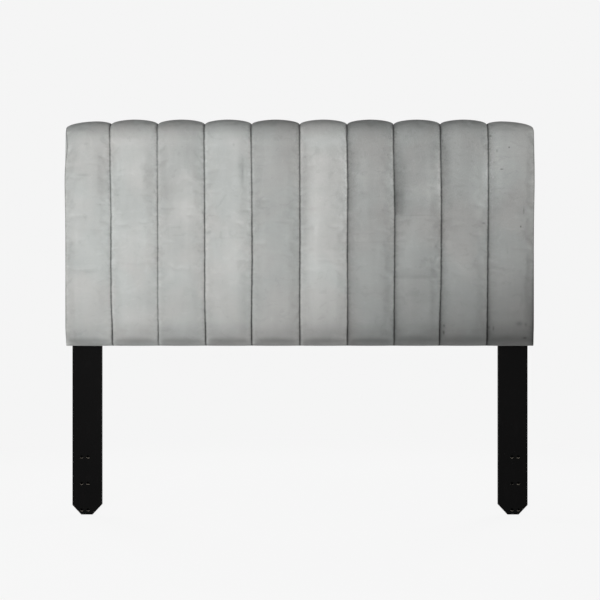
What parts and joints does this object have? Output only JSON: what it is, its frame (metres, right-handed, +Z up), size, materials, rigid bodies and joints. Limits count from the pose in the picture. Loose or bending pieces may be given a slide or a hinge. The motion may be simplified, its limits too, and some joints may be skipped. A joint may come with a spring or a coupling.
{
  "type": "upholstered headboard",
  "caption": "Velvet headboard with vertical channels and two bolt-on legs, drilled for the bracket of a bed frame.",
  "frame": {"origin": "on the floor, midway between the legs and halfway through the depth", "axes": "+Z up, -Y towards the bed and the viewer, +X to the right as seen from the front"},
  "size_m": [1.57, 0.0974, 1.34],
  "materials": {
    "grey_velvet": "matte",
    "foam": "matte",
    "fibreboard": "matte",
    "frame_wood": "matte",
    "black_nonwoven": "matte",
    "black_paint": "satin",
    "black_steel": "satin",
    "zinc_steel": "satin"
  },
  "bodies": {
    "root": {"bottom_rail": "frame_wood", "channel_cover_01": "grey_velvet", "channel_cover_02": "grey_velvet", "channel_cover_03": "grey_velvet", "channel_cover_04": "grey_velvet", "channel_cover_05": "grey_velvet", "channel_cover_06": "grey_velvet", "channel_cover_07": "grey_velvet", "channel_cover_08": "grey_velvet", "channel_cover_09": "grey_velvet", "channel_cover_10": "grey_velvet", "channel_foam_01": "foam", "channel_foam_02": "foam", "channel_foam_03": "foam", "channel_foam_04": "foam", "channel_foam_05": "foam", "channel_foam_06": "foam", "channel_foam_07": "foam", "channel_foam_08": "foam", "channel_foam_09": "foam", "channel_foam_10": "foam", "dust_cover": "black_nonwoven", "face_board": "fibreboard", "inner_stile_1": "frame_wood", "inner_stile_2": "frame_wood", "left_end_board": "frame_wood", "left_leg": "black_paint", "left_leg_bolts": "black_steel", "left_leg_inserts": "zinc_steel", "right_end_board": "frame_wood", "right_leg": "black_paint", "right_leg_bolts": "black_steel", "right_leg_inserts": "zinc_steel", "side_border_left": "grey_velvet", "side_border_right": "grey_velvet", "top_rail": "frame_wood"}
  },
  "joints": []
}
